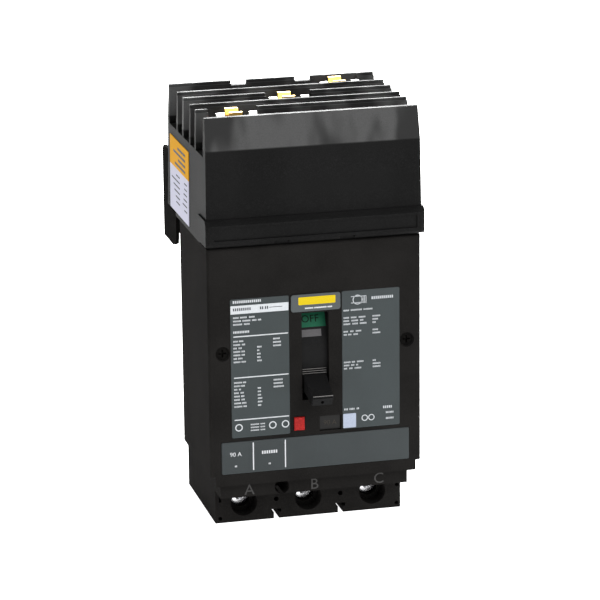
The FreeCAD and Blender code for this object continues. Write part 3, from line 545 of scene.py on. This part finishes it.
class BREAKER_OT_right_plate_print(bpy.types.Operator):
    """Print the right data plate: a plain drawing of a ring and bars, dash rows and a pale square"""

    bl_idname = "breaker.right_plate_print"
    bl_label = "Right plate print"

    def execute(self, context):
        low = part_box("right_label")[0]
        y = low[1]
        left = low[0] + 0.9 * MM
        h = settings().print_height
        random.seed(5)
        made = [ring_mark(left + 7.5 * MM, 122.0 * MM, 2.6 * MM, 2.2 * MM, y)]
        for k in range(4):
            rib = left + (9.5 + 0.8 * k) * MM
            made.append(mark(rib, rib + 0.3 * MM, 119.9 * MM, 123.8 * MM, y))
        for z in (120.4, 123.8):
            made.append(mark(left + 4 * MM, left + 12.2 * MM, (z - 0.15) * MM, (z + 0.15) * MM, y))
        made += dashes(left + 15 * MM, 122.4 * MM, (12 * MM,), 1.5 * MM, 0, y)
        made += dashes(left, 116.6 * MM, (3 * MM, 6 * MM, 5 * MM), h, h, y)
        for z in (112.6, 110.9, 109.2, 105.2, 103.5, 88.6, 86.9, 85.2):
            made += dashes(left, z * MM, [random.uniform(1.5, 4) * MM for _ in range(3)], h, h, y)
            made += dashes(left + 15.5 * MM, z * MM, [random.uniform(1.6, 4.5) * MM], h, h, y)
        made += dashes(left, 63.0 * MM, (2 * MM, 3 * MM, 1.5 * MM), 1.0 * MM, h, y)
        made += dashes(left + 21 * MM, 62.6 * MM, (5.5 * MM,), 1.4 * MM, 0, y)
        for z in (59.6, 56.4):
            made += dashes(left + 22.5 * MM, z * MM, (4.5 * MM,), 1.0 * MM, 0, y)
        for x in (11.0, 14.6):
            made.append(ring_mark(left + x * MM, 57.6 * MM, 1.7 * MM, 1.25 * MM, y))
        light_ink = ink("plate ink light", (0.45, 0.47, 0.49))
        settle(joined(made), "right_plate_print", "case", light_ink)
        x0, x1 = low[0] + 0.3 * MM, low[0] + 7.2 * MM
        square = slab(x0, x1, y - PRINT_T, y + PRINT_T, 52.9 * MM, 60.6 * MM, 0.3 * MM)
        settle(square, "pale_square", "case", ink("pale ink", (0.33, 0.37, 0.46)))
        return {"FINISHED"}


class BREAKER_OT_name_plate_band(bpy.types.Operator):
    """Lay the plain yellow band and a fine pale line on the name plate"""

    bl_idname = "breaker.name_plate_band"
    bl_label = "Name plate band"

    def execute(self, context):
        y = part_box("name_plate")[0][1]
        band = slab(-9.0 * MM, 10.7 * MM, y - 2 * PRINT_T, y + PRINT_T, 121.6 * MM, 125.7 * MM, 0.4 * MM)
        settle(band, "yellow_band", "case", ink("yellow ink", (0.54, 0.40, 0.008), 0.5))
        line = dashes(-5.5 * MM, 119.7 * MM, (4.5 * MM, 6.5 * MM, 2.4 * MM), 0.7 * MM, 0.5 * MM, y)
        settle(joined(line), "name_plate_line", "case", ink("white line", (0.75, 0.76, 0.78)))
        return {"FINISHED"}


class BREAKER_OT_strip_marks(bpy.types.Operator):
    """Print the two dividing lines and the rating figures on the strip and in the window"""

    bl_idname = "breaker.strip_marks"
    bl_label = "Rating strip marks"

    def execute(self, context):
        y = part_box("rating_strip")[0][1]
        made = [mark(x - 0.3 * MM, x + 0.3 * MM, 34.4 * MM, 49.4 * MM, y) for x in (-33.8 * MM, -16.7 * MM)]
        made.append(lettering("90 A", 3.2 * MM, -43.2 * MM, y, 42.6 * MM))
        made += dashes(-29.2 * MM, 43.6 * MM, (8.6 * MM,), 1.7 * MM, 0, y)
        for x in (-43.2, -25.2):
            made += dashes((x - 0.5) * MM, 37.2 * MM, (1.0 * MM,), 0.9 * MM, 0, y)
        settle(joined(made), "strip_print", "case", ink("strip ink", (0.55, 0.56, 0.58)))
        low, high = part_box("rating_window")
        figure = lettering("90 A", 3.6 * MM, (low[0] + high[0]) / 2, low[1], 55.2 * MM)
        settle(figure, "window_figures", "case", ink("dim figures", (0.03, 0.026, 0.021)))
        return {"FINISHED"}


class BREAKER_OT_flag_word(bpy.types.Operator):
    """Print the plain word for the open state on the green flag, tangent to its curve"""

    bl_idname = "breaker.flag_word"
    bl_label = "Flag word"

    def execute(self, context):
        low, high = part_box("off_flag")
        middle_z = (low[2] + high[2]) / 2
        lean = math.asin((middle_z - TOGGLE_AXIS_Z) / FLAG_R)
        y = TOGGLE_AXIS_Y - FLAG_R * math.cos(lean)
        made = lettering("OFF", 5.4 * MM, 0.0, 0.0, -1.8 * MM, 0.05 * MM)
        made.rotation_euler = (-lean, 0.0, 0.0)
        made.location = (-1.2 * MM, y, middle_z)
        settle(made, "flag_word", "toggle", ink("dark green ink", (0.0008, 0.006, 0.003)))
        return {"FINISHED"}


class BREAKER_OT_ridge_highlights(bpy.types.Operator):
    """Paint pale hairlines on the edges of the shutter's steps and of the handle's tip, as painted
    highlights on those ridges
    """

    bl_idname = "breaker.grip_wear"
    bl_label = "Painted ridge highlights"

    def execute(self, context):
        made = [self.line(44.85 - 0.5 * k, 6.4, TOGGLE_TILT + 4.8 + 1.3 * k) for k in range(3)]
        made.append(self.line(64.05, 5.3, TOGGLE_TILT + 2.15))
        # painted highlight: pale hairlines along the shutter's steps and the handle's tip stand in for light
        # catching those edges
        ridge_highlight_ink = ink("painted ridge highlight", (0.16, 0.155, 0.15), 0.4)
        settle(joined(made), "grip_wear", "toggle", ridge_highlight_ink)
        return {"FINISHED"}

    def line(self, radius, half, angle):
        """A hairline across the poles at a distance and an angle from the toggle's axis."""
        lean = math.radians(angle)
        obj = slab(-half * MM, half * MM, -PRINT_T, PRINT_T, -0.16 * MM, 0.16 * MM, 0.04 * MM)
        obj.rotation_euler = (-lean, 0.0, 0.0)
        y = TOGGLE_AXIS_Y - radius * MM * math.cos(lean)
        obj.location = (0.0, y, TOGGLE_AXIS_Z + radius * MM * math.sin(lean))
        bpy.ops.object.transform_apply(location=True, rotation=True, scale=True)
        return obj


class BREAKER_OT_phase_letters(bpy.types.Operator):
    """Mould the phase letters A, B and C into the strip above the lugs"""

    bl_idname = "breaker.phase_letters"
    bl_label = "Phase letters"

    def execute(self, context):
        y = FACE_Y + 5.0 * MM
        made = []
        for letter, x in zip(PHASES, (-POLE_PITCH, 0.0, POLE_PITCH)):
            made.append(lettering(letter, 8.2 * MM, x, y, 19.2 * MM, 0.1 * MM))
        letter_ink = ink("moulded letters", (0.05, 0.049, 0.048))
        settle(joined(made), "phase_letters", "case", letter_ink)
        return {"FINISHED"}


class BREAKER_OT_sticker_marks(bpy.types.Operator):
    """Print neutral bars in two columns on the label at the left side"""

    bl_idname = "breaker.sticker_marks"
    bl_label = "Side label marks"

    def execute(self, context):
        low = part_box("side_label")[0]
        random.seed(8)
        bars = []
        for row in range(4):
            bars.append((low[1] + 8 * MM, low[1] + random.uniform(24, 38) * MM, 192.5 - 3.0 * row, 1.3))
        for row in range(6):
            bars.append((low[1] + 22 * MM, low[1] + random.uniform(30, 42) * MM, 177.5 - 2.9 * row, 0.7))
            bars.append((low[1] + 4 * MM, low[1] + random.uniform(9, 16) * MM, 177.5 - 2.9 * row, 0.7))
        made = [self.bar(*bar) for bar in bars]
        settle(joined(made), "side_label_bars", "case", ink("black ink", (0.03, 0.03, 0.032)))
        return {"FINISHED"}

    def bar(self, y0, y1, z, height):
        """One bar, laid on the sloping side of the line housing."""
        obj = slab(y0, y1, -PRINT_T, PRINT_T, (z - height / 2) * MM, (z + height / 2) * MM, 0.2 * MM)
        for vertex in obj.data.vertices:
            along, out, height_now = vertex.co
            side_x = label_side(height_now) - out
            vertex.co = (side_x, along, height_now)
        deselect()
        obj.select_set(True)
        bpy.context.view_layer.objects.active = obj
        bpy.ops.object.mode_set(mode="EDIT")
        bpy.ops.mesh.select_all(action="SELECT")
        bpy.ops.mesh.normals_make_consistent(inside=False)
        bpy.ops.object.mode_set(mode="OBJECT")
        return obj


def label_side(z):
    """X of the side label's face at a height: the housing narrows by 0.6 mm from its foot to its waist."""
    return -(57.0 - 0.6 * (z / MM - 156.2) / 49.4 + 0.32) * MM


class BREAKER_OT_stage(bpy.types.Operator):
    """Set the camera, the pale floor and the soft lights"""

    bl_idname = "breaker.stage"
    bl_label = "Stage"

    yaw = math.radians(13.82)
    pitch = math.radians(15.77)
    roll = math.radians(-0.62)
    target = (1.9 * MM, FACE_Y + 40.0 * MM, 112.53 * MM)
    distance = 1.73508
    lens = 3288.1 / 600 * 36.0

    def execute(self, context):
        look = context.scene.stage_look
        deselect()
        bpy.ops.object.camera_add()
        camera = context.object
        a, e, r = self.yaw, self.pitch, self.roll
        forward = Vector((math.sin(a) * math.cos(e), math.cos(a) * math.cos(e), -math.sin(e)))
        right = Vector((math.cos(a), -math.sin(a), 0.0))
        up = right.cross(forward)
        side = math.cos(r) * right + math.sin(r) * up
        above = -math.sin(r) * right + math.cos(r) * up
        turn = Matrix((side, above, -forward)).transposed().to_4x4()
        camera.matrix_world = Matrix.Translation(Vector(self.target) - forward * self.distance) @ turn
        camera.data.lens = self.lens
        camera.data.sensor_width = 36.0
        camera.data.clip_end = 50.0
        context.scene.camera = camera
        context.scene.view_settings.view_transform = "Standard"
        self.floor(look)
        self.light("key", (1.0, -1.9, 1.5), 1.5, look.key_power)
        self.light("fill", (-0.9, -1.8, 0.9), 1.2, look.fill_power)
        self.light("top", (0.1, 0.2, 1.9), 1.2, look.top_power)
        self.light("rim", (0.55, 2.3, 0.95), 1.1, look.rim_power)
        world = context.scene.world or bpy.data.worlds.new("soft studio")
        context.scene.world = world
        world.use_nodes = True
        background = world.node_tree.nodes["Background"]
        background.inputs[0].default_value = (1.0, 1.0, 1.0, 1.0)
        background.inputs[1].default_value = look.sky
        return {"FINISHED"}

    def floor(self, look):
        deselect()
        bpy.ops.mesh.primitive_plane_add(size=60.0)
        floor = bpy.context.object
        floor.name = "floor"
        shade = Shade("pale floor", Emission_Strength=look.floor_glow, Specular_IOR_Level=0.0)
        shade.shader.inputs["Emission Color"].default_value = (1.0, 1.0, 1.0, 1.0)
        floor.data.materials.append(shade.finish(rgba(look.floor_colour), 0.8))

    def light(self, name, place, size, power):
        deselect()
        bpy.ops.object.light_add(type="AREA", location=place)
        lamp = bpy.context.object
        lamp.name = name + " light"
        lamp.data.size = size
        lamp.data.energy = power
        lamp.rotation_euler = (Vector(self.target) - Vector(place)).to_track_quat("-Z", "Y").to_euler()


class BREAKER_PT_panel(bpy.types.Panel):
    """Lists the breaker's settings and a button for each step"""

    bl_label = "Molded case breaker"
    bl_idname = "BREAKER_PT_panel"
    bl_space_type = "VIEW_3D"
    bl_region_type = "UI"
    bl_category = "Breaker"

    def draw(self, context):
        column = self.layout.column()
        for name in ("case_colour", "housing_colour", "plate_colour", "strip_colour",
                     "lead_in_height", "edge_radius", "print_height"):
            column.prop(context.scene.breaker_look, name)
        for name in ("floor_colour", "key_power", "fill_power", "top_power", "rim_power", "sky",
                     "floor_glow"):
            column.prop(context.scene.stage_look, name)
        for operator in STEPS:
            column.operator(operator.bl_idname)


STEPS = (BREAKER_OT_finish_nodes, BREAKER_OT_left_plate_print, BREAKER_OT_right_plate_print,
         BREAKER_OT_name_plate_band, BREAKER_OT_strip_marks, BREAKER_OT_flag_word,
         BREAKER_OT_ridge_highlights, BREAKER_OT_phase_letters, BREAKER_OT_sticker_marks,
         BREAKER_OT_stage)
CLASSES = (BreakerLook, StageLook) + STEPS + (BREAKER_PT_panel,)


def register():
    for cls in CLASSES:
        bpy.utils.register_class(cls)
    bpy.types.Scene.breaker_look = bpy.props.PointerProperty(type=BreakerLook)
    bpy.types.Scene.stage_look = bpy.props.PointerProperty(type=StageLook)


def unregister():
    del bpy.types.Scene.stage_look
    del bpy.types.Scene.breaker_look
    for cls in reversed(CLASSES):
        bpy.utils.unregister_class(cls)


def main():
    register()
    for step in STEPS:
        group, name = step.bl_idname.split(".")
        getattr(getattr(bpy.ops, group), name)()


if __name__ == "__main__":
    main()
